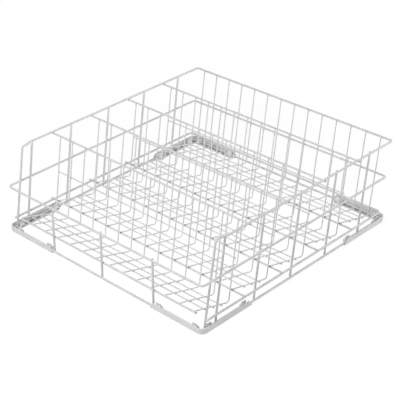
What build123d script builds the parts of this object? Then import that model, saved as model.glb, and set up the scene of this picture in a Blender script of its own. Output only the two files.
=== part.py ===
from build123d import *
import os
from math import asin, atan2, cos, radians, sin, tan

# Glass basket of a rack-type dishwasher: a square frame of coated steel wire with five
# tilted rows, and four plastic guards clipped on its bottom corners.
# Millimetres. X runs along the open front, Y points to the back, Z is up, and the origin
# is the middle of the box around the basket, on the surface it stands on.

# Overall size, measured over the faces of the corner guards
rack_width = 500.0

# Coated wire diameters, the flats each wire is drawn with, and the gap left between two
# wires that are welded together
frame_wire = 4.0
carrier_wire = 3.6
thin_wire = 2.4
wire_sides = 12
thin_wire_sides = 8
weld_gap = 0.05

# Heights of the frame wires above the bottom ring, between wire centres
lower_rail_rise = 19.1
middle_ring_rise = 89.4
top_rail_rise = 159.3

# Frame shape
ring_corner_radius = 8.0
top_corner_radius = 4.0
top_overhang = 14.5
wall_lean = 9.4
front_setback = 2.0
front_top_setback = 39.2
front_corner_reach = 22.7
front_bend_radius = 6.0
jog_run = 7.5
jog_bend_radius = 6.0
rail_tail = 1.5

# Side posts
posts_per_side = 5
rear_post_setback = 62.0
post_foot = 1.0

# Rows of thin wire
row_count = 5
row_slack = 6.2
wires_per_row = 14
row_edge = 23.3
floor_rise = 5.0
floor_overhang = 4.0
front_floor_overhang = 1.0
front_rail_rise = 25.6
rail_setback = 8.6
wire_bend = 3.0
wire_overhang = 2.0
divider_wire_rise = 86.6
floor_cross_wires = 3
floor_cross_first = 18.2
floor_cross_pitch = 20.3

# Corner guards
guard_leg = 122.0
guard_wall = 1.8
guard_fit = 0.1
guard_height = 11.6
guard_taper = 6.0
guard_edge_radius = 2.4
sole_thickness = 1.4
sole_inset = 8.5
sole_corner_cut = 3.5
lip_wall = 1.6
lip_height = 2.3
clip_length = 10.0
clip_from_corner = 23.5
clip_from_end = 13.6
clip_height = 12.3
clip_wall = 2.0
clip_hook = 1.5
clip_root = 5.5
clip_window = 3.2
rib_width = 1.6
rib_height = 0.9
rib_places = (56.0, 73.0)

# Plan of the frame
half_rack = rack_width / 2
wire_inset = guard_wall + guard_fit + frame_wire / 2
ring_half = half_rack - wire_inset
ring_y = (wire_inset - top_overhang - frame_wire / 2) / 2
bottom_front_y = ring_y - ring_half
bottom_back_y = ring_y + ring_half
top_back_y = bottom_back_y + top_overhang
middle_front_y = bottom_front_y + front_setback

# Heights of wire centres
bottom_z = sole_thickness + weld_gap + frame_wire / 2
lower_z = bottom_z + lower_rail_rise
middle_z = bottom_z + middle_ring_rise
top_z = bottom_z + top_rail_rise
floor_z = bottom_z + floor_rise

# Distances between the centres of two wires that touch
frame_to_frame = frame_wire + weld_gap
frame_to_carrier = (frame_wire + carrier_wire) / 2 + weld_gap
frame_to_thin = (frame_wire + thin_wire) / 2 + weld_gap
carrier_to_thin = (carrier_wire + thin_wire) / 2 + weld_gap
thin_to_thin = thin_wire + weld_gap

lean = radians(wall_lean)
post_x = ring_half - frame_to_frame
wire_end_x = ring_half + frame_wire / 2
divider_z = top_z - frame_to_carrier
cross_rail_z = lower_z + frame_to_carrier
row_pitch = (2 * ring_half - row_slack) / row_count
row_half_span = ring_half - row_edge
wire_pitch = 2 * row_half_span / (wires_per_row - 1)


def riser_y(row, z):
    """Place of a row's risers at a height, for the lean that all the walls share."""
    back = top_back_y - frame_to_thin / cos(lean)
    return back - (top_z - z) * tan(lean) - (row_count - row) * row_pitch


def back_rail_y(z):
    """Place of a frame wire that lies against the back of the last row's risers."""
    return riser_y(row_count, z) + frame_to_thin / cos(lean)


def divider_y(row):
    """Place of the wire that ties a row's risers together at the top."""
    return riser_y(row, divider_z) + carrier_to_thin / cos(lean)


def cross_rail_y(row):
    """Place of the wire that carries the front of a row's floor."""
    return riser_y(row - 1, cross_rail_z) + rail_setback


def wire_section(diameter):
    """Section of a wire, with flats that meet on its round outside."""
    RegularPolygon(diameter / 2, thin_wire_sides if diameter == thin_wire else wire_sides)


def straight_wire(start, end, diameter):
    """One straight piece of wire."""
    run = Vector(*end) - Vector(*start)
    with BuildPart() as wire:
        with BuildSketch(Plane(origin=start, z_dir=run)):
            wire_section(diameter)
        extrude(amount=run.length)
    return wire.part


def bent_wire(points, radii, diameter):
    """One piece of wire, bent to a radius at each inner point."""
    with BuildPart() as wire:
        with BuildLine() as path:
            FilletPolyline(*points, radius=radii)
        with BuildSketch(Plane(origin=path.line @ 0, z_dir=path.line % 0)):
            wire_section(diameter)
        sweep()
    return wire.part


def closed_ring(front_y, back_y, z, corner_radius):
    """A rectangular ring of frame wire whose ends are butt welded in the middle of the back."""
    points = [
        (-weld_gap / 2, back_y, z),
        (-ring_half, back_y, z),
        (-ring_half, front_y, z),
        (ring_half, front_y, z),
        (ring_half, back_y, z),
        (weld_gap / 2, back_y, z),
    ]
    return bent_wire(points, [corner_radius] * 4, frame_wire)


def save(piece, name):
    """Name a finished piece and write it out."""
    piece.label = name
    export_step(piece, f"parts/{name}.step")


os.makedirs("parts", exist_ok=True)

# Frame: two closed rings, and two rails that run round the sides and the back
save(closed_ring(bottom_front_y, bottom_back_y, bottom_z, ring_corner_radius), "bottom_ring")
save(closed_ring(middle_front_y, back_rail_y(middle_z), middle_z, ring_corner_radius), "middle_ring")

# The top rail steps inwards past the first side posts and turns down into the two front
# corner posts, which end inside the corners of the bottom ring
corner_top_y = bottom_front_y + front_top_setback
first_post_y = corner_top_y + front_corner_reach
jog_back_y = first_post_y - frame_wire / 2 - jog_bend_radius * tan(atan2(frame_to_frame, jog_run) / 2)
jog_front_y = jog_back_y - jog_run
corner_foot_y = bottom_front_y + ring_corner_radius + post_foot
corner_foot_z = bottom_z - post_foot / 2
corner_slope = (corner_top_y - corner_foot_y) / (top_z - corner_foot_z)
left_half = [
    (-post_x, corner_foot_y, corner_foot_z),
    (-post_x, corner_top_y, top_z),
    (-post_x, jog_front_y, top_z),
    (-ring_half, jog_back_y, top_z),
    (-ring_half, top_back_y, top_z),
]
right_half = [(-x, y, z) for x, y, z in reversed(left_half)]
half_bends = [front_bend_radius, jog_bend_radius, jog_bend_radius, top_corner_radius]
save(bent_wire(left_half + right_half, half_bends + half_bends[::-1], frame_wire), "top_rail")

lower_end_y = corner_foot_y + (lower_z - corner_foot_z) * corner_slope - frame_wire / 2 - rail_tail
lower_points = [
    (-ring_half, lower_end_y, lower_z),
    (-ring_half, back_rail_y(lower_z), lower_z),
    (ring_half, back_rail_y(lower_z), lower_z),
    (ring_half, lower_end_y, lower_z),
]
save(bent_wire(lower_points, [ring_corner_radius] * 2, frame_wire), "lower_rail")

# Leaning side posts, welded inside the rings and rails
post_top_z = top_z + frame_wire / 2 - post_foot
post_foot_z = bottom_z - post_foot
post_pitch = (top_back_y - rear_post_setback - first_post_y) / (posts_per_side - 1)
for number in range(1, posts_per_side + 1):
    y = first_post_y + (number - 1) * post_pitch
    foot_y = y - (top_z - post_foot_z) * tan(lean)
    head_y = y + (post_top_z - top_z) * tan(lean)
    for side, x in (("left", -post_x), ("right", post_x)):
        post = straight_wire((x, foot_y, post_foot_z), (x, head_y, post_top_z), frame_wire)
        save(post, f"{side}_post_{number}")

# Three short posts inside the front, between the bottom and middle rings: one in the middle
# and one at the end of each guard's leg
front_post_x = half_rack - guard_leg
front_lean = atan2(front_setback, middle_ring_rise)


def front_post_y(z):
    """Place of the short front posts at a height."""
    return bottom_front_y + (z - bottom_z) * tan(front_lean) + frame_to_frame / cos(front_lean)


front_post_top_z = middle_z + frame_wire / 2
for place, x in (("left", -front_post_x), ("middle", 0), ("right", front_post_x)):
    foot = (x, front_post_y(post_foot_z), post_foot_z)
    head = (x, front_post_y(front_post_top_z), front_post_top_z)
    save(straight_wire(foot, head, frame_wire), f"front_post_{place}")

# Carrier wires: the dividers' top wires hang under the top rail, the cross rails lie on
# the lower rail, and the front floor rail lies against the short front posts
for row in range(1, row_count):
    y = divider_y(row)
    top_wire = straight_wire((-wire_end_x, y, divider_z), (wire_end_x, y, divider_z), carrier_wire)
    save(top_wire, f"divider_top_wire_{row}")
for row in range(2, row_count + 1):
    y = cross_rail_y(row)
    rail = straight_wire((-wire_end_x, y, cross_rail_z), (wire_end_x, y, cross_rail_z), carrier_wire)
    save(rail, f"cross_rail_{row}")
front_rail_z = bottom_z + front_rail_rise
front_rail_y = front_post_y(front_rail_z) + frame_to_carrier / cos(front_lean)
half_length = row_half_span + wire_overhang
front_rail_ends = [(x, front_rail_y, front_rail_z) for x in (-half_length, half_length)]
save(straight_wire(*front_rail_ends, carrier_wire), "front_floor_rail")


def floor_line(row):
    """Foot of a row's risers, and the direction and length of the floor that climbs from it
    to the front and lies on the row's rail."""
    foot = Vector(0, riser_y(row, floor_z), floor_z)
    rail = Vector(0, front_rail_y, front_rail_z)
    overhang = front_floor_overhang
    if row > 1:
        rail = Vector(0, cross_rail_y(row), cross_rail_z)
        overhang = floor_overhang
    reach = rail - foot
    climb = atan2(reach.Z, -reach.Y) + asin(carrier_to_thin / reach.length)
    forward = Vector(0, -cos(climb), sin(climb))
    return foot, forward, forward.dot(reach) + overhang


# Each row is a set of like wires bent in one plane: a floor that slopes down to the back
# and a riser that leans back
up = Vector(0, sin(lean), cos(lean))
behind = Vector(0, cos(lean), -sin(lean))
for row in range(1, row_count + 1):
    foot, forward, floor_length = floor_line(row)
    head_z = top_z if row == row_count else divider_z + carrier_wire / 2
    head = foot + up * ((head_z - foot.Z) / up.Z)
    with BuildPart() as row_wire:
        with BuildLine() as path:
            Polyline(foot + forward * floor_length, foot + forward * wire_bend, foot + up * wire_bend, head)
        with BuildSketch(Plane(origin=path.line @ 0, x_dir=(1, 0, 0), z_dir=path.line % 0)):
            wire_section(thin_wire)
        sweep(transition=Transition.RIGHT)
    with BuildPart() as row_wires:
        with GridLocations(wire_pitch, 0, wires_per_row, 1):
            add(row_wire.part)
    save(row_wires.part, f"row_wires_{row}")

    # Thin cross wires under the floor, which keep its wires in step
    under = Vector(0, -forward.Z, forward.Y)
    with BuildPart() as cross_wires:
        for count in range(floor_cross_wires):
            place = foot + forward * (floor_cross_first + count * floor_cross_pitch) + under * thin_to_thin
            with BuildSketch(Plane(origin=(-half_length, place.Y, place.Z), z_dir=(1, 0, 0))):
                wire_section(thin_wire)
        extrude(amount=2 * half_length)
    save(cross_wires.part, f"row_cross_wires_{row}")

    # A thin wire half way up the back of each divider's risers
    if row < row_count:
        place = foot + up * ((divider_wire_rise - floor_rise) / up.Z) + behind * thin_to_thin
        ends = [(x, place.Y, place.Z) for x in (-half_length, half_length)]
        save(straight_wire(*ends, thin_wire), f"divider_middle_wire_{row}")

# Corner guard: an angle of plastic channel round a corner of the bottom ring, with a sole
# under the wire, a wall outside it, a low lip inside it and snap clips. It is drawn at the
# front right corner of a ring centred on the origin and turned to the other three.
leg_middle = half_rack - guard_leg / 2
outer_radius = ring_corner_radius + wire_inset
wall_inside = rack_width - 2 * guard_wall
clip_face = ring_half - frame_wire / 2 - guard_fit
sole_edge = ring_half - sole_inset
inner_band = clip_face - sole_edge
inner_band_y = -(clip_face + sole_edge) / 2
open_end = clip_from_end - clip_length / 2
end_middle = half_rack - guard_leg + open_end / 2
hook_z = bottom_z + frame_wire / 2 + guard_fit
pocket_z = (hook_z + clip_wall + clip_height) / 2
pocket_height = clip_height - hook_z - 2 * clip_wall
diagonal = Plane((0, 0, 0), x_dir=(0, 0, 1), z_dir=(1, 1, 0))

# Clips and ribs of the front leg. A clip is a tab with a barb over the wire, a shallow
# pocket above the barb and a window through its root.
with BuildPart() as leg_clips:
    for centre in (half_rack - clip_from_corner, half_rack - guard_leg + clip_from_end):
        with BuildSketch(Plane.YZ.offset(centre)):
            with BuildLine():
                Polyline(
                    (-clip_face, sole_thickness),
                    (-clip_face, hook_z),
                    (-clip_face - clip_hook, hook_z),
                    (-clip_face, hook_z + clip_wall),
                    (-clip_face, clip_height),
                    (-clip_face + clip_wall, clip_height),
                    (-clip_face + clip_wall, clip_root + clip_wall / 2),
                    (-sole_edge, clip_root),
                    (-sole_edge, sole_thickness),
                    close=True,
                )
            make_face()
        extrude(amount=clip_length / 2, both=True)
        with Locations((centre, -clip_face + clip_wall / 4, pocket_z)):
            Box(clip_length - 2 * clip_wall, clip_wall / 2, pocket_height, mode=Mode.SUBTRACT)
        with Locations((centre, inner_band_y, (sole_thickness + clip_root) / 2)):
            Box(clip_window, inner_band, clip_root - sole_thickness - rib_width, mode=Mode.SUBTRACT)
    for place in rib_places:
        with Locations((half_rack - place, inner_band_y, sole_thickness + rib_height / 2)):
            Box(rib_width, inner_band, rib_height)

# Outline of the sole's inner edge, with its corners cut off
with BuildSketch() as inner_edge:
    Rectangle(2 * sole_edge, 2 * sole_edge)
    chamfer(inner_edge.vertices(), sole_corner_cut)

with BuildPart() as guard:
    with BuildSketch():
        RectangleRounded(rack_width, rack_width, outer_radius)
        add(inner_edge.sketch, mode=Mode.SUBTRACT)
        with Locations((leg_middle, -leg_middle)):
            Rectangle(guard_leg, guard_leg, mode=Mode.INTERSECT)
    extrude(amount=sole_thickness)
    with BuildSketch():
        offset(inner_edge.sketch, lip_wall, kind=Kind.INTERSECTION)
        add(inner_edge.sketch, mode=Mode.SUBTRACT)
        with Locations((leg_middle, -leg_middle)):
            Rectangle(guard_leg, guard_leg, mode=Mode.INTERSECT)
    extrude(amount=lip_height)
    with BuildSketch():
        RectangleRounded(rack_width, rack_width, outer_radius)
        RectangleRounded(wall_inside, wall_inside, outer_radius - guard_wall, mode=Mode.SUBTRACT)
        with Locations((leg_middle, -leg_middle)):
            Rectangle(guard_leg, guard_leg, mode=Mode.INTERSECT)
    extrude(amount=guard_height)

    # Rounded lower edge, and walls that taper down to the wire at both ends
    lower_edges = guard.faces().sort_by(Axis.Z)[0].edges()
    outer_edges = lower_edges.filter_by(lambda edge: max(edge.center().X, -edge.center().Y) > ring_half)
    fillet(outer_edges, guard_edge_radius)
    top_edges = guard.faces().sort_by(Axis.Z)[-1].edges()
    chamfer(top_edges.filter_by(lambda edge: edge.length < 2 * guard_wall), guard_taper)

    # Beyond the last clips the sole is cut back to the wire and the lip ends
    with Locations((end_middle, inner_band_y, lip_height / 2)):
        Box(open_end, inner_band, lip_height, mode=Mode.SUBTRACT)
    with Locations((-inner_band_y, -end_middle, lip_height / 2)):
        Box(inner_band, open_end, lip_height, mode=Mode.SUBTRACT)

    # Clips of both legs
    add(leg_clips.part)
    mirror(leg_clips.part, about=diagonal)

corners = ("front_right", "back_right", "back_left", "front_left")
for quarter, corner in enumerate(corners):
    with BuildPart() as corner_guard:
        with Locations(Location((0, ring_y, 0), (0, 0, 90 * quarter))):
            add(guard.part)
    save(corner_guard.part, f"corner_guard_{corner}")
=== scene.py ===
from math import radians, tan

import bmesh
import bpy
from mathutils import Matrix, Vector


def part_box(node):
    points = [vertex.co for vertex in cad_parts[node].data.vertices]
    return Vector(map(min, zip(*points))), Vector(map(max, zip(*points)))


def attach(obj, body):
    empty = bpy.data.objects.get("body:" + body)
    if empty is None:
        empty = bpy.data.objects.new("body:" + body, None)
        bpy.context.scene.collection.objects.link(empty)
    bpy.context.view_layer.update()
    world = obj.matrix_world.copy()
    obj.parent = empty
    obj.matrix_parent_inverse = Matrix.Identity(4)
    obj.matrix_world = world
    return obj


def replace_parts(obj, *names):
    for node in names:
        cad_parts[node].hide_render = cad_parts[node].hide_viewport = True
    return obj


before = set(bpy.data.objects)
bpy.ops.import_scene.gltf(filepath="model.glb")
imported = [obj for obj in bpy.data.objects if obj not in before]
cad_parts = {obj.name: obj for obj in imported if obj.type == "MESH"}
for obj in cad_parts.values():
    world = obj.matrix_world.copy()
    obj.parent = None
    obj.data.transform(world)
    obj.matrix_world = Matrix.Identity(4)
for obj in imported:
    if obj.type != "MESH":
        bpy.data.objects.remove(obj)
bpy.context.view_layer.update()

# Frame rings and rails: thick steel wire, bent cold and butt welded. The welded basket is
# dipped in a pale grey nylon powder coat, which is satin, a little uneven and rounds off
# every end.
low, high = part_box("middle_ring")
frame_radius = (high[2] - low[2]) / 2


def make_coat(name, pale, deep, rough_low, rough_high):
    """Dipped nylon coat: slow changes of tone and gloss, and a faint orange peel."""
    coat = bpy.data.materials.new(name)
    coat.use_nodes = True
    nodes, links = coat.node_tree.nodes, coat.node_tree.links
    shader = nodes["Principled BSDF"]
    shader.inputs["Specular IOR Level"].default_value = 0.45
    shader.inputs["Coat Weight"].default_value = 0.12
    shader.inputs["Coat Roughness"].default_value = 0.25
    place = nodes.new("ShaderNodeTexCoord")
    cloud = nodes.new("ShaderNodeTexNoise")
    cloud.inputs["Scale"].default_value = 38.0
    cloud.inputs["Detail"].default_value = 3.0
    links.new(place.outputs["Object"], cloud.inputs["Vector"])
    tone = nodes.new("ShaderNodeValToRGB")
    tone.color_ramp.elements[0].position = 0.32
    tone.color_ramp.elements[0].color = (*deep, 1.0)
    tone.color_ramp.elements[1].position = 0.62
    tone.color_ramp.elements[1].color = (*pale, 1.0)
    links.new(cloud.outputs["Fac"], tone.inputs["Fac"])
    links.new(tone.outputs["Color"], shader.inputs["Base Color"])
    rough = nodes.new("ShaderNodeMapRange")
    rough.inputs["To Min"].default_value = rough_low
    rough.inputs["To Max"].default_value = rough_high
    links.new(cloud.outputs["Fac"], rough.inputs["Value"])
    links.new(rough.outputs["Result"], shader.inputs["Roughness"])
    peel = nodes.new("ShaderNodeTexNoise")
    peel.inputs["Scale"].default_value = 620.0
    peel.inputs["Detail"].default_value = 2.0
    links.new(place.outputs["Object"], peel.inputs["Vector"])
    bump = nodes.new("ShaderNodeBump")
    bump.inputs["Strength"].default_value = 0.12
    bump.inputs["Distance"].default_value = 0.0001
    links.new(peel.outputs["Fac"], bump.inputs["Height"])
    links.new(bump.outputs["Normal"], shader.inputs["Normal"])
    return coat


nylon_coat = make_coat("nylon_coat", (0.79, 0.795, 0.80), (0.72, 0.725, 0.735), 0.36, 0.52)
wire_sides = 16
bend_step = radians(11)
seam_gap = 0.00002
end_rounding = 0.4


def draw_wire(bm, points, radius, bends=(), closed=False):
    """Draws one wire: its straight runs are extruded and its corners spun to their radius."""
    points = [Vector(point) for point in points]
    heading = (points[1] - points[0]).normalized()
    aim = heading.to_track_quat("Z", "Y").to_matrix().to_4x4()
    stand = Matrix.Translation(points[0]) @ aim
    rim = bmesh.ops.create_circle(bm, segments=wire_sides, radius=radius, matrix=stand)["verts"]
    start = loop = list({edge for vert in rim for edge in vert.link_edges})
    here = points[0]
    for index in range(1, len(points)):
        corner = points[index]
        heading = (corner - points[index - 1]).normalized()
        turn = back = 0.0
        if index < len(points) - 1:
            onward = (points[index + 1] - corner).normalized()
            turn = heading.angle(onward)
            back = bends[index - 1] * tan(turn / 2)
        grown = bmesh.ops.extrude_edge_only(bm, edges=loop)["geom"]
        rim = {item for item in grown if isinstance(item, bmesh.types.BMVert)}
        bmesh.ops.translate(bm, verts=list(rim), vec=corner - heading * back - here)
        edges = [item for item in grown if isinstance(item, bmesh.types.BMEdge)]
        loop = [edge for edge in edges if rim.issuperset(edge.verts)]
        if index < len(points) - 1:
            inward = (onward - heading * heading.dot(onward)).normalized()
            turned = bmesh.ops.spin(
                bm,
                geom=loop,
                cent=corner - heading * back + inward * bends[index - 1],
                axis=heading.cross(onward).normalized(),
                angle=turn,
                steps=max(2, round(turn / bend_step)),
            )["geom_last"]
            loop = [item for item in turned if isinstance(item, bmesh.types.BMEdge)]
            here = corner + onward * back
    if closed:
        bmesh.ops.remove_doubles(bm, verts=bm.verts, dist=seam_gap)
        return
    for ends in (start, loop):
        bmesh.ops.contextual_create(bm, geom=ends)
    bmesh.ops.bevel(
        bm,
        geom=start + loop,
        offset=end_rounding * radius,
        segments=3,
        profile=0.5,
        affect="EDGES",
        material=-1,
    )


def finish_piece(bm, name, coat=nylon_coat):
    """Makes a drawn shape a visible piece of the coated basket."""
    bmesh.ops.recalc_face_normals(bm, faces=bm.faces)
    for face in bm.faces:
        face.smooth = True
    mesh = bpy.data.meshes.new(name)
    bm.to_mesh(mesh)
    bm.free()
    mesh.materials.append(coat)
    piece = bpy.data.objects.new(name, mesh)
    bpy.context.collection.objects.link(piece)
    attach(piece, "root")
    return piece


def finish_wire(bm, node):
    """Makes a drawn wire the visible piece for its CAD node."""
    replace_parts(finish_piece(bm, "coated_" + node), node)


ring_bend = 0.008
for node in ("bottom_ring", "middle_ring"):
    low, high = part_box(node)
    side, ring_z = high[0] - frame_radius, (low[2] + high[2]) / 2
    front, back = low[1] + frame_radius, high[1] - frame_radius
    corners = [(0, back), (-side, back), (-side, front), (side, front), (side, back), (0, back)]
    ring = [(x, y, ring_z) for x, y in corners]
    bm = bmesh.new()
    draw_wire(bm, ring, frame_radius, [ring_bend] * 4, closed=True)
    finish_wire(bm, node)
bottom_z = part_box("bottom_ring")[0][2] + frame_radius
middle_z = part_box("middle_ring")[0][2] + frame_radius

low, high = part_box("lower_rail")
lower_z = (low[2] + high[2]) / 2
back = high[1] - frame_radius
course = [(-side, low[1]), (-side, back), (side, back), (side, low[1])]
bm = bmesh.new()
draw_wire(bm, [(x, y, lower_z) for x, y in course], frame_radius, [ring_bend] * 2)
finish_wire(bm, "lower_rail")

# Top rail: one long wire round the sides and the back. At the front it steps in by its own
# thickness, past the first side posts, and turns down to become the two corner posts.
low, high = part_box("top_rail")
top_z = high[2] - frame_radius
back = high[1] - frame_radius
weld_gap = 0.00005
post_x = side - 2 * frame_radius - weld_gap
first_post_y = -0.1905
turn_down_y = first_post_y - 0.0227
step_in_y = first_post_y - 0.0110
step_out_y = first_post_y - 0.0035
foot_reach, foot_trim = 0.98, 0.0005
left_end = [
    (-post_x, low[1] + frame_radius * foot_reach, low[2] + foot_trim),
    (-post_x, turn_down_y, top_z),
    (-post_x, step_in_y, top_z),
    (-side, step_out_y, top_z),
    (-side, back, top_z),
]
right_end = [(-x, y, z) for x, y, z in reversed(left_end)]
bends = [0.006, 0.006, 0.006, 0.004]
bm = bmesh.new()
draw_wire(bm, left_end + right_end, frame_radius, bends + bends[::-1])
finish_wire(bm, "top_rail")

# Side posts and short front posts: straight cuts of the same wire, spot welded inside the
# rings and rails. The side posts lean back with the rows, the front ones stand almost up.
end_trim = 0.0003
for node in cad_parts:
    if "_post_" not in node:
        continue
    low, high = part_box(node)
    x = (low[0] + high[0]) / 2
    foot = (x, low[1] + frame_radius, low[2] + end_trim)
    head = (x, high[1] - frame_radius, high[2] - end_trim)
    bm = bmesh.new()
    draw_wire(bm, [foot, head], frame_radius)
    finish_wire(bm, node)


# Carrier wires: medium wire across the basket. The dividers' top wires hang under the top
# rail, the cross rails lie on the lower rail, and one short rail carries the first floor.
def middle(node):
    """Place of a straight cross wire, as y and z."""
    low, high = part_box(node)
    return (low[1] + high[1]) / 2, (low[2] + high[2]) / 2


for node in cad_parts:
    if not node.startswith(("divider_", "cross_rail_", "front_floor_rail")):
        continue
    low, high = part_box(node)
    bm = bmesh.new()
    ends = [(x, *middle(node)) for x in (low[0], high[0])]
    draw_wire(bm, ends, (high[2] - low[2]) / 2)
    finish_wire(bm, node)

# Rows: thin wire, each piece bent in one plane into a floor that lies on the row's rail and
# slopes down to the back, and a riser that leans back against its divider's top wire. The
# last row leans on the back of the frame, a little higher.
low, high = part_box("row_wires_2")
thin_radius = 0.0012
row_pitch = 0.0972
row_bend = 0.005
gaps_between = 13
wire_pitch = (high[0] - low[0] - 2 * thin_radius) / gaps_between
row_xs = [low[0] + thin_radius + k * wire_pitch for k in range(gaps_between + 1)]
first_row = [(-0.24402, 0.03226), (-0.16334, 0.00845), (-0.13813, 0.16070)]
second_row = [(-0.15492, 0.03032), (-0.06614, 0.00845), (-0.04093, 0.16070)]
last_head = (0.25101, 0.16275)
row_lines = [first_row] + [[(y + row_pitch * k, z) for y, z in second_row] for k in range(4)]
row_lines[-1][-1] = last_head
for number, line in enumerate(row_lines, 1):
    bm = bmesh.new()
    draw_wire(bm, [(row_xs[0], y, z) for y, z in line], thin_radius, [row_bend])
    whole = bm.verts[:] + bm.edges[:] + bm.faces[:]
    for x in row_xs[1:]:
        copy = bmesh.ops.duplicate(bm, geom=whole)["geom"]
        moved = [item for item in copy if isinstance(item, bmesh.types.BMVert)]
        bmesh.ops.translate(bm, verts=moved, vec=(x - row_xs[0], 0, 0))
    finish_wire(bm, f"row_wires_{number}")

# Floor cross wires: three thin straight wires welded beneath each row's floor, which keep
# its wires in step.
floor_steps = (0.0182, 0.0385, 0.0588)
for number, (front, foot, _) in enumerate(row_lines, 1):
    low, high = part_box(f"row_cross_wires_{number}")
    foot = Vector((0, *foot))
    forward = (Vector((0, *front)) - foot).normalized()
    under = Vector((0, -forward.z, forward.y))
    bm = bmesh.new()
    for step in floor_steps:
        spot = foot + forward * step + under * (2 * thin_radius + weld_gap)
        draw_wire(bm, [(low[0], spot.y, spot.z), (high[0], spot.y, spot.z)], thin_radius)
    finish_wire(bm, f"row_cross_wires_{number}")

# Weld beads of the rows: each thin wire is resistance welded to the wires it crosses, and
# the coat pools round the joint in a small bead. The beads of a row make one piece.
row_bead = 0.95 * thin_radius


def add_bead(bm, point, radius):
    """Sets one low-polygon bead between two wires."""
    stand = Matrix.Translation(point)
    bmesh.ops.create_uvsphere(bm, u_segments=8, v_segments=6, radius=radius, matrix=stand)


back_levels = (("lower_rail", lower_z), ("middle_ring", middle_z), ("top_rail", top_z))
back_wires = [(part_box(node)[1][1] - frame_radius, z) for node, z in back_levels]
for number, line in enumerate(row_lines, 1):
    front, foot, head = (Vector((0, *point)) for point in line)
    forward, up = (front - foot).normalized(), (head - foot).normalized()
    under, behind = Vector((0, -forward.z, forward.y)), Vector((0, up.z, -up.y))
    rail = middle("front_floor_rail" if number == 1 else f"cross_rail_{number}")
    crossed = back_wires
    if number < len(row_lines):
        crossed = [middle(f"divider_{part}_wire_{number}") for part in ("top", "middle")]
    steps = [*floor_steps, forward.dot(Vector((0, *rail)) - foot)]
    spots = [foot + forward * step + under * thin_radius for step in steps]
    rises = [up.dot(Vector((0, *wire)) - foot) for wire in crossed]
    spots += [foot + up * rise + behind * thin_radius for rise in rises]
    bm = bmesh.new()
    for x in row_xs:
        for spot in spots:
            add_bead(bm, (x, spot.y, spot.z), row_bead)
    finish_piece(bm, f"row_{number}_weld_beads")

# Weld beads of the frame: the posts, dividers and cross rails are welded to the rings and
# rails in the same way, with larger beads. They make one piece.
frame_bead = 0.8 * frame_radius
touch_x = side - frame_radius
post_foot, post_head = left_end[:2]
post_lean = (post_head[1] - post_foot[1]) / (post_head[2] - post_foot[2])
bm = bmesh.new()
for hand in (-1, 1):
    for number in range(1, 6):
        low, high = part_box(f"left_post_{number}")
        lean = (high[1] - low[1] - 2 * frame_radius) / (high[2] - low[2])
        for z in (bottom_z, lower_z, middle_z, top_z):
            y = low[1] + frame_radius + (z - low[2]) * lean
            add_bead(bm, (hand * touch_x, y, z), frame_bead)
    for z in (lower_z, middle_z):
        y = post_foot[1] + (z - post_foot[2]) * post_lean
        add_bead(bm, (hand * touch_x, y, z), frame_bead)
    for number in range(1, 5):
        y = middle(f"divider_top_wire_{number}")[0]
        add_bead(bm, (hand * side, y, top_z - frame_radius), frame_bead)
        y = middle(f"cross_rail_{number + 1}")[0]
        add_bead(bm, (hand * side, y, lower_z + frame_radius), frame_bead)
rail_front, rail_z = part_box("front_floor_rail")[0][1], middle("front_floor_rail")[1]
for place in ("left", "middle", "right"):
    low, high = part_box(f"front_post_{place}")
    x = (low[0] + high[0]) / 2
    for node, z in (("bottom_ring", bottom_z), ("middle_ring", middle_z)):
        add_bead(bm, (x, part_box(node)[0][1] + 2 * frame_radius, z), frame_bead)
    add_bead(bm, (x, rail_front, rail_z), frame_bead)
finish_piece(bm, "frame_weld_beads")

# Shaded ends: the floor wires of the four rear rows are cut off just in front of their rails,
# and the ends of the front rail stand free. Flat caps of a dark coat paint shade on these
# cut ends.
# Painted shade: this dark coat on the end caps stands in for shade, not for a worn coat.
painted_shade_end = make_coat("painted_shade_end", (0.17, 0.165, 0.16), (0.09, 0.088, 0.085), 0.5, 0.7)
shaded_end_radius = 1.12 * thin_radius
shaded_end_shape = Matrix.Diagonal((1.0, 1.0, 0.7, 1.0))
bm = bmesh.new()
for front, foot, _ in row_lines[1:]:
    front, foot = Vector((0, *front)), Vector((0, *foot))
    turn = (front - foot).to_track_quat("Z", "Y").to_matrix().to_4x4()
    for x in row_xs:
        stand = Matrix.Translation((x, front.y, front.z)) @ turn @ shaded_end_shape
        bmesh.ops.create_uvsphere(
            bm, u_segments=10, v_segments=6, radius=shaded_end_radius, matrix=stand
        )
low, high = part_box("front_floor_rail")
rail_radius = (high[2] - low[2]) / 2
cap_shape = Matrix.Diagonal((0.25, 1.0, 1.0, 1.0))
for x in (low[0], high[0]):
    stand = Matrix.Translation((x, *middle("front_floor_rail"))) @ cap_shape
    bmesh.ops.create_uvsphere(bm, u_segments=10, v_segments=8, radius=rail_radius, matrix=stand)
finish_piece(bm, "shade_painted_wire_ends", painted_shade_end)

# Corner guards: tough pale plastic angles, injection moulded, snapped over the bottom ring
# by their clips. Their colour also paints shade: dark grey on the sole inside their channels
# and, thinner, low on their inner sides just above the wire.
guard_plastic = make_coat("guard_plastic", (0.88, 0.885, 0.89), (0.83, 0.835, 0.845), 0.48, 0.64)
nodes, links = guard_plastic.node_tree.nodes, guard_plastic.node_tree.links
shader = nodes["Principled BSDF"]
plain = shader.inputs["Base Color"].links[0].from_socket


def add_range(tree, value, from_min, from_max, to_min, to_max):
    """Adds a node that maps one range of a value to another, and returns its result."""
    node = tree.nodes.new("ShaderNodeMapRange")
    node.inputs["From Min"].default_value = from_min
    node.inputs["From Max"].default_value = from_max
    node.inputs["To Min"].default_value = to_min
    node.inputs["To Max"].default_value = to_max
    tree.links.new(value, node.inputs["Value"])
    return node.outputs["Result"]


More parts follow.
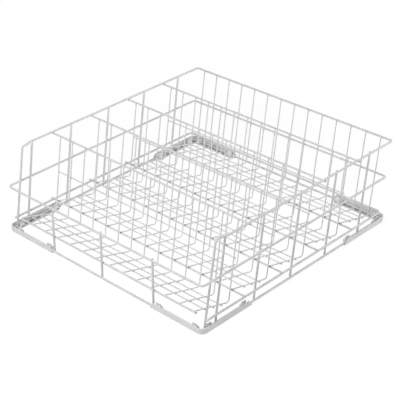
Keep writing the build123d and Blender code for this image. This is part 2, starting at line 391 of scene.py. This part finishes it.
def add_math(tree, operation, first, second):
    """Adds a node that joins two values, and returns its result."""
    node = tree.nodes.new("ShaderNodeMath")
    node.operation = operation
    tree.links.new(first, node.inputs[0])
    tree.links.new(second, node.inputs[1])
    return node.outputs["Value"]


tree = guard_plastic.node_tree
place = nodes.new("ShaderNodeTexCoord").outputs["Object"]
normal = nodes.new("ShaderNodeNewGeometry").outputs["Normal"]
height = nodes.new("ShaderNodeSeparateXYZ")
links.new(place, height.inputs["Vector"])
facing = nodes.new("ShaderNodeSeparateXYZ")
links.new(normal, facing.inputs["Vector"])
outward = nodes.new("ShaderNodeVectorMath")
outward.operation = "DOT_PRODUCT"
links.new(place, outward.inputs[0])
links.new(normal, outward.inputs[1])
# Painted shade masks: the upward sole beside the wire, and the inner wall just above the wire.
on_sole = add_range(tree, height.outputs["Z"], 0.0015, 0.0020, 0.9, 0.0)
level = add_range(tree, facing.outputs["Z"], 0.5, 0.9, 0.0, 1.0)
sole_shade = add_math(tree, "MULTIPLY", on_sole, level)
low_down = add_range(tree, height.outputs["Z"], 0.0055, 0.0085, 0.35, 0.0)
inner = add_range(tree, outward.outputs["Value"], -0.22, -0.15, 1.0, 0.0)
wall_shade = add_math(tree, "MULTIPLY", low_down, inner)
# Painted shade colour, mixed over the plastic's own tone where these masks are set.
shade_paint = nodes.new("ShaderNodeMix")
shade_paint.data_type = "RGBA"
shade_paint.inputs["B"].default_value = (0.4, 0.4, 0.405, 1.0)
links.new(add_math(tree, "MAXIMUM", sole_shade, wall_shade), shade_paint.inputs["Factor"])
links.new(plain, shade_paint.inputs["A"])
links.new(shade_paint.outputs["Result"], shader.inputs["Base Color"])
for node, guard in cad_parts.items():
    if node.startswith("corner_guard"):
        guard.material_slots[0].material = guard_plastic

# Floor: a plain white sweep. The camera sees it almost as white paper, with the soft shadow
# of the basket left on it. Its glow grows towards the edges, where the lamps reach less.
floor_reach, floor_drop = 6.0, 0.0002
stand = Matrix.Translation((0, 0, -floor_drop))
bm = bmesh.new()
bmesh.ops.create_grid(bm, x_segments=1, y_segments=1, size=floor_reach, matrix=stand)
mesh = bpy.data.meshes.new("studio_floor")
bm.to_mesh(mesh)
bm.free()
studio_floor = bpy.data.objects.new("studio_floor", mesh)
bpy.context.collection.objects.link(studio_floor)
paper = bpy.data.materials.new("white_paper")
paper.use_nodes = True
tree = paper.node_tree
nodes, links = tree.nodes, tree.links
nodes["Principled BSDF"].inputs["Base Color"].default_value = (0.7, 0.7, 0.7, 1.0)
nodes["Principled BSDF"].inputs["Roughness"].default_value = 0.9


def add_seen(tree):
    """Adds the nodes that tell rays which see the background, straight, through or mirrored."""
    rays = tree.nodes.new("ShaderNodeLightPath").outputs
    straight = add_math(tree, "MAXIMUM", rays["Is Camera Ray"], rays["Is Transmission Ray"])
    return add_math(tree, "MAXIMUM", straight, rays["Is Glossy Ray"])


distance = nodes.new("ShaderNodeVectorMath")
distance.operation = "LENGTH"
links.new(nodes.new("ShaderNodeTexCoord").outputs["Object"], distance.inputs[0])
glow = nodes.new("ShaderNodeEmission")
strength = add_range(tree, distance.outputs["Value"], 0.45, 1.6, 1.125, 1.2)
links.new(strength, glow.inputs["Strength"])
blend = nodes.new("ShaderNodeMixShader")
links.new(add_range(tree, add_seen(tree), 0.0, 1.0, 0.0, 0.8), blend.inputs["Fac"])
links.new(nodes["Principled BSDF"].outputs["BSDF"], blend.inputs[1])
links.new(glow.outputs["Emission"], blend.inputs[2])
links.new(blend.outputs["Shader"], nodes["Material Output"].inputs["Surface"])
mesh.materials.append(paper)

# Light: a dim white room with one large soft lamp high in front of the basket and a lower
# one behind its back right corner, so that the left sides of the wires fall into a gentle
# shade. A weak lamp in the table under the basket lifts the floor wires, and isn't seen.
room = bpy.data.worlds.new("white_room")
room.use_nodes = True
bpy.context.scene.world = room
tree = room.node_tree
nodes, links = tree.nodes, tree.links
nodes["Background"].inputs["Color"].default_value = (1.0, 1.0, 1.0, 1.0)
nodes["Background"].inputs["Strength"].default_value = 0.235
backdrop = nodes.new("ShaderNodeBackground")
backdrop.inputs["Color"].default_value = (1.0, 1.0, 1.0, 1.0)
blend = nodes.new("ShaderNodeMixShader")
links.new(add_seen(tree), blend.inputs["Fac"])
links.new(nodes["Background"].outputs["Background"], blend.inputs[1])
links.new(backdrop.outputs["Background"], blend.inputs[2])
links.new(blend.outputs["Shader"], nodes["World Output"].inputs["Surface"])
lamp_aim = Vector((0, 0, 0.05))
for name, place, width, power, shows in (
    ("front_lamp", (0.0, -1.157, 1.379), 0.9, 17.6, True),
    ("back_right_lamp", (1.196, 1.196, 0.616), 0.9, 11.6, True),
    ("table_lamp", (0.0, 0.0, -0.0001), 0.44, 0.3, False),
):
    lamp = bpy.data.lights.new(name, "AREA")
    lamp.size = width
    lamp.energy = power
    holder = bpy.data.objects.new(name, lamp)
    bpy.context.collection.objects.link(holder)
    holder.location = place
    holder.rotation_euler = (lamp_aim - Vector(place)).to_track_quat("-Z", "Y").to_euler()
    holder.visible_camera = holder.visible_glossy = shows

# Camera: a long lens at the front right corner, above the basket.
lens = bpy.data.cameras.new("photo_camera")
lens.lens = 111.38
lens.sensor_width = 36.0
camera = bpy.data.objects.new("photo_camera", lens)
bpy.context.collection.objects.link(camera)
across = Vector((0.723, 0.69066, -0.01611))
upward = Vector((-0.33452, 0.3704, 0.86654))
toward_camera = Vector((0.60445, -0.62113, 0.49884))
turn = Matrix((across, upward, toward_camera)).transposed().to_4x4()
camera.matrix_world = Matrix.Translation((1.3937, -1.4311, 1.20155)) @ turn
bpy.context.scene.camera = camera
bpy.context.scene.view_settings.view_transform = "Standard"
